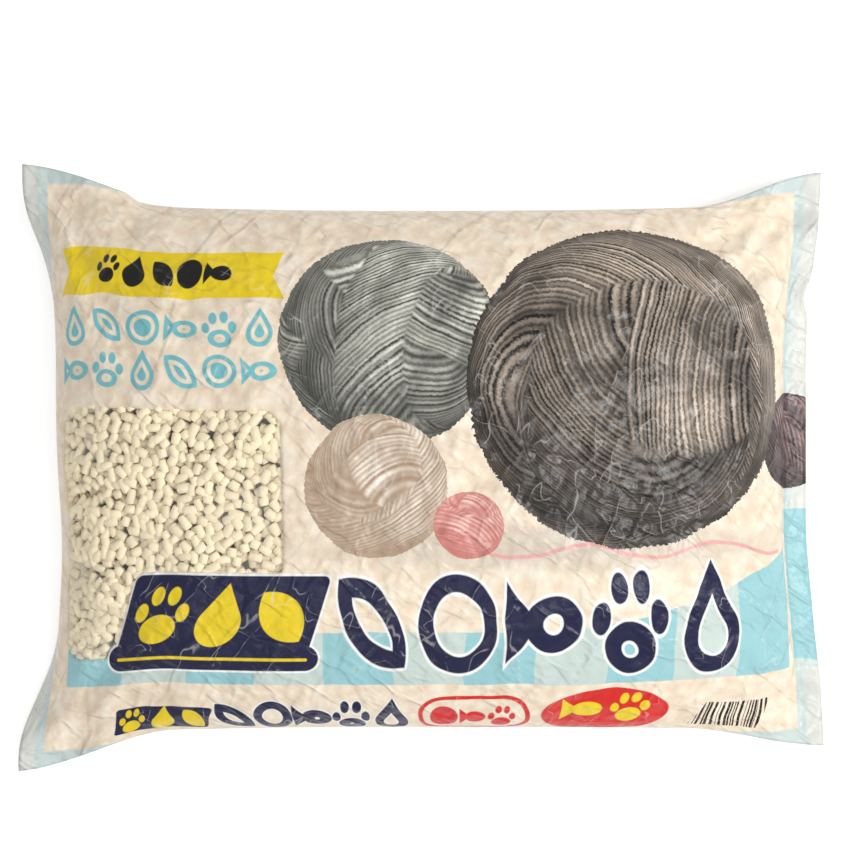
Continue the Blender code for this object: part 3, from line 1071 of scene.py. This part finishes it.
def rim_faces(rows, columns):
    """Faces that join the edges of two like grids, the second numbered after the first."""
    index = np.arange(rows * columns).reshape(rows, columns)
    loop = np.concatenate((index[:-1, 0], index[-1, :-1], index[:0:-1, -1], index[0, :0:-1]))
    after = np.roll(loop, -1)
    below = rows * columns
    return np.stack((loop, loop + below, after + below, after), axis=-1)


def mesh_of(name, points, faces):
    """A smooth mesh from points and faces."""
    mesh = bpy.data.meshes.new(name)
    mesh.from_pydata(points.reshape(-1, 3).tolist(), [], faces.tolist())
    mesh.shade_smooth()
    mesh.validate()
    return mesh


def carry(mesh, name, kind, values):
    """Writes a value for each point of a mesh."""
    held = mesh.attributes.new(name, kind, "POINT")
    field = "vector" if kind == "FLOAT_VECTOR" else "value"
    held.data.foreach_set(field, np.ascontiguousarray(values, dtype=np.float32).ravel())


def shown(name, mesh, material=None):
    """Puts a mesh in the scene, with a material where it has none yet."""
    made = bpy.data.objects.new(name, mesh)
    if material is not None:
        made.data.materials.append(material)
    bpy.context.scene.collection.objects.link(made)
    return made


def window_patch(film, reach, lift):
    """The stretch of film at the window, out to a distance from its edge, as a mesh."""
    near = film.window < reach
    keep = near[:-1, :-1] & near[1:, :-1] & near[:-1, 1:] & near[1:, 1:]
    faces = grid_faces(*film.along.shape)[keep.ravel()]
    used, renumbered = np.unique(faces, return_inverse=True)
    points = (film.upper + film.upward() * lift).reshape(-1, 3)[used]
    return mesh_of("window_patch", points, renumbered.reshape(faces.shape))


class LITTERBAG_OT_film(bpy.types.Operator):
    """Builds the printed film of the bag, sunk behind the window"""

    bl_idname = "litterbag.film"
    bl_label = "Printed film"

    def execute(self, context):
        settings = context.scene.litter_film
        film = Film(settings)
        depth = POCKET_DEPTH * context.scene.litter_pellets.radius
        sunk = smooth(-film.window / WINDOW_WALL)[..., None] * depth
        upper = film.upper - film.upward() * sunk
        points = np.concatenate((upper.reshape(-1, 3), film.lower.reshape(-1, 3)))
        rows, columns = film.along.shape
        front_faces = grid_faces(rows, columns)
        back_faces = grid_faces(rows, columns, offset=rows * columns, turned=True)
        faces = np.concatenate((front_faces, back_faces, rim_faces(rows, columns)))
        mesh = mesh_of("printed_film", points, faces)
        page = np.stack((film.page_x, film.page_y, np.zeros_like(film.page_x)), axis=-1).reshape(-1, 3)
        front = np.ones(rows * columns)
        carry(mesh, "page", "FLOAT_VECTOR", np.concatenate((page, page)))
        carry(mesh, "front", "FLOAT", np.concatenate((front, 0.0 * front)))
        bag = shown("printed_film", mesh, printed_film(settings))
        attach(bag, "root")
        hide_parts("litter_bag")
        return {"FINISHED"}


class LITTERBAG_OT_window(bpy.types.Operator):
    """Builds the clear film over the window"""

    bl_idname = "litterbag.window"
    bl_label = "Clear window"

    def execute(self, context):
        film = Film(context.scene.litter_film)
        patch = window_patch(film, WINDOW_OVERLAP, -WINDOW_THICKNESS)
        pane = shown("clear_window", patch, clear_film())
        wall = pane.modifiers.new("thickness", "SOLIDIFY")
        wall.thickness = WINDOW_THICKNESS
        wall.offset = -1.0
        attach(pane, "root")
        return {"FINISHED"}


def one_pellet(nodes, given):
    """A pellet that lies along the X axis, rounded at its ends, with how high each point lies on it."""
    cylinder = nodes.add(
        "GeometryNodeMeshCylinder",
        fill_type="TRIANGLE_FAN",
        Vertices=9,
        Side_Segments=3,
        Radius=1.0,
        Depth=1.0,
    )
    x, y, z = nodes.add("GeometryNodeInputPosition").split()
    at_end = abs(z) > 0.3
    narrow = 1.0 - at_end * PELLET_NARROWING
    shaped = nodes.join(x * narrow, y * narrow, z * (2.4 - at_end * 1.4))
    rounded = nodes.add("GeometryNodeSetPosition", Geometry=cylinder, Position=shaped)
    sized = nodes.add(
        "GeometryNodeTransform",
        Geometry=rounded,
        Rotation=(0.0, 0.5 * math.pi, 0.0),
        Scale=nodes.join(given["Radius"], given["Radius"], given["Length"]),
    )
    high = nodes.add("GeometryNodeInputPosition").split()[2]
    return nodes.add(
        "GeometryNodeStoreNamedAttribute",
        data_type="FLOAT",
        domain="POINT",
        Geometry=sized,
        Name="rise",
        Value=high / given["Radius"],
    )


def pellet_tree(material):
    """Geometry nodes that pack a layer of pellets under a patch of film."""
    tree = bpy.data.node_groups.new("pellet layer", "GeometryNodeTree")
    sizes = dict.fromkeys(("Radius", "Length", "Spacing", "Depth", "Tone"), "Float")
    for label, kind in {"Geometry": "Geometry", **sizes, "Seed": "Int"}.items():
        tree.interface.new_socket(label, in_out="INPUT", socket_type="NodeSocket" + kind)
    tree.interface.new_socket("Geometry", in_out="OUTPUT", socket_type="NodeSocketGeometry")
    nodes = Nodes(tree)
    given = {held.name: Value(nodes, held) for held in nodes.node("NodeGroupInput").outputs if held.name}

    def chance(kind, lot, **limits):
        """A random value for each pellet, a number or a vector."""
        node = nodes.node("FunctionNodeRandomValue", data_type=kind, Seed=given["Seed"] + lot, **limits)
        return nodes.out(node, 1 if kind == "FLOAT" else 0)

    scatter = nodes.node(
        "GeometryNodeDistributePointsOnFaces",
        distribute_method="POISSON",
        Mesh=given["Geometry"],
        Distance_Min=given["Spacing"],
        Density_Max=PELLET_DENSITY,
        Seed=given["Seed"],
    )
    points, normal, rotation = (nodes.out(scatter, name) for name in ("Points", "Normal", "Rotation"))
    sunk = nodes.add("GeometryNodeSetPosition", Geometry=points, Offset=normal * (given["Depth"] * -1.0))
    placed = nodes.add(
        "GeometryNodeInstanceOnPoints",
        Points=sunk,
        Instance=one_pellet(nodes, given),
        Rotation=rotation,
        Scale=chance("FLOAT_VECTOR", 5.0, Min=PELLET_SIZES[0], Max=PELLET_SIZES[1]),
    )
    tilt = chance(
        "FLOAT_VECTOR",
        3.0,
        Min=(-PELLET_TILT, -PELLET_TILT, 0.0),
        Max=(PELLET_TILT, PELLET_TILT, 2.0 * math.pi),
    )
    turned = nodes.add("GeometryNodeRotateInstances", Instances=placed, Rotation=tilt)
    # Each pellet's tone: the layer's own, lower on the deeper layer as painted shade, plus a random share
    toned = nodes.add(
        "GeometryNodeStoreNamedAttribute",
        data_type="FLOAT",
        domain="INSTANCE",
        Geometry=turned,
        Name="tone",
        Value=given["Tone"] + chance("FLOAT", 7.0) * 0.3,
    )
    solid = nodes.add("GeometryNodeRealizeInstances", Geometry=toned)
    smoothed = nodes.add("GeometryNodeSetShadeSmooth", Geometry=solid)
    finished = nodes.add("GeometryNodeSetMaterial", Geometry=smoothed, Material=material)
    nodes.node("NodeGroupOutput", finished)
    return tree


def grown(patch, tree, values):
    """What a tree makes of a mesh, as a plain mesh."""
    holder = shown("patch", patch)
    modifier = holder.modifiers.new("pellets", "NODES")
    modifier.node_group = tree
    keys = {item.name: item.identifier for item in tree.interface.items_tree if item.in_out == "INPUT"}
    for name, value in values.items():
        modifier[keys[name]] = value
    evaluated = holder.evaluated_get(bpy.context.evaluated_depsgraph_get())
    mesh = bpy.data.meshes.new_from_object(evaluated)
    bpy.data.objects.remove(holder)
    return mesh


class LITTERBAG_OT_pellets(bpy.types.Operator):
    """Packs two layers of pellets behind the window"""

    bl_idname = "litterbag.pellets"
    bl_label = "Pellets"

    def execute(self, context):
        settings = context.scene.litter_pellets
        tree = pellet_tree(pulp(settings))
        patch = window_patch(Film(context.scene.litter_film), PELLET_REACH, 0.0)
        for number, (depth, tone) in enumerate(PELLET_LAYERS):
            values = {
                "Radius": settings.radius,
                "Length": settings.length,
                "Spacing": settings.spacing,
                "Depth": depth * settings.radius,
                "Tone": tone,
                "Seed": PELLET_SEED + number,
            }
            mesh = grown(patch, tree, values)
            mesh.name = f"pellets_{number + 1}"
            layer = shown(mesh.name, mesh)
            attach(layer, "root")
        return {"FINISHED"}


def floor_material():
    """Plain pale floor, seen as white by the camera and in reflections."""
    made, nodes, shader = new_material("studio_floor")
    nodes.fill(shader, Base_Color=FLOOR_TINT, Roughness=0.9)
    path = nodes.node("ShaderNodeLightPath")
    seen = nodes.most(nodes.out(path, "Is Camera Ray"), nodes.out(path, "Is Glossy Ray"))
    glow = nodes.add("ShaderNodeEmission", Strength=seen * FLOOR_GLOW)
    together = nodes.add("ShaderNodeAddShader", nodes.out(shader), glow)
    nodes.fill(made.node_tree.nodes["Material Output"], Surface=together)
    return made


def soft_lamp(name, place, power, size):
    """A square soft box that faces the bag."""
    lamp = bpy.data.lights.new(name, "AREA")
    lamp.energy = power
    lamp.size = size
    made = bpy.data.objects.new(name, lamp)
    made.location = place
    bpy.context.scene.collection.objects.link(made)
    aim = made.location.normalized()
    made.rotation_euler = aim.to_track_quat("Z", "Y").to_euler()


class LITTERBAG_OT_stage(bpy.types.Operator):
    """Sets the floor, the lamps, the world and the camera"""

    bl_idname = "litterbag.stage"
    bl_label = "Studio"

    def execute(self, context):
        settings = context.scene.litter_stage
        scene = context.scene
        corners = np.array(((-1.0, -1.0), (1.0, -1.0), (1.0, 1.0), (-1.0, 1.0))) * FLOOR_HALF
        corners = np.column_stack((corners, np.full(4, -FLOOR_DROP)))
        floor = mesh_of("studio_floor", corners, np.array(((0, 1, 2, 3),)))
        shown("studio_floor", floor, floor_material())

        for name, place, share, size in LAMPS:
            soft_lamp(name, place, share * settings.lamp_power, size)
        world = bpy.data.worlds.new("studio")
        scene.world = world
        world.use_nodes = True
        nodes = Nodes(world.node_tree)
        by_camera = nodes.out(nodes.node("ShaderNodeLightPath"), "Is Camera Ray")
        strength = nodes.span(by_camera, 0.0, 1.0, SKY_LIGHT, 1.0)
        nodes.fill(world.node_tree.nodes["Background"], (1.0, 1.0, 1.0, 1.0), strength)

        lens = bpy.data.cameras.new("camera")
        lens.lens = LENS
        lens.sensor_width = 36.0
        camera = bpy.data.objects.new("camera", lens)
        camera.location = (*CAMERA_OFF_MIDDLE, settings.camera_height)
        scene.collection.objects.link(camera)
        scene.camera = camera
        scene.view_settings.view_transform = "Standard"
        return {"FINISHED"}


class LITTERBAG_PT_sidebar(bpy.types.Panel):
    """Lists the pieces of the bag"""

    bl_label = "Litter Bag"
    bl_idname = "LITTERBAG_PT_sidebar"
    bl_space_type = "VIEW_3D"
    bl_region_type = "UI"
    bl_category = "Litter Bag"

    def draw(self, context):
        for operator in OPERATORS:
            self.layout.operator(operator.bl_idname)
        for group in (context.scene.litter_film, context.scene.litter_pellets, context.scene.litter_stage):
            for name in group.__annotations__:
                self.layout.prop(group, name)


OPERATORS = (LITTERBAG_OT_film, LITTERBAG_OT_window, LITTERBAG_OT_pellets, LITTERBAG_OT_stage)
CLASSES = (FilmSettings, PelletSettings, StageSettings, *OPERATORS, LITTERBAG_PT_sidebar)


def register():
    """Adds the classes and the settings to Blender."""
    for held in CLASSES:
        bpy.utils.register_class(held)
    bpy.types.Scene.litter_film = bpy.props.PointerProperty(type=FilmSettings)
    bpy.types.Scene.litter_pellets = bpy.props.PointerProperty(type=PelletSettings)
    bpy.types.Scene.litter_stage = bpy.props.PointerProperty(type=StageSettings)


def unregister():
    """Takes them out again."""
    del bpy.types.Scene.litter_film
    del bpy.types.Scene.litter_pellets
    del bpy.types.Scene.litter_stage
    for held in reversed(CLASSES):
        bpy.utils.unregister_class(held)


def main():
    """Builds every piece and the studio."""
    register()
    bpy.ops.litterbag.film()
    bpy.ops.litterbag.window()
    bpy.ops.litterbag.pellets()
    bpy.ops.litterbag.stage()


if __name__ == "__main__":
    main()
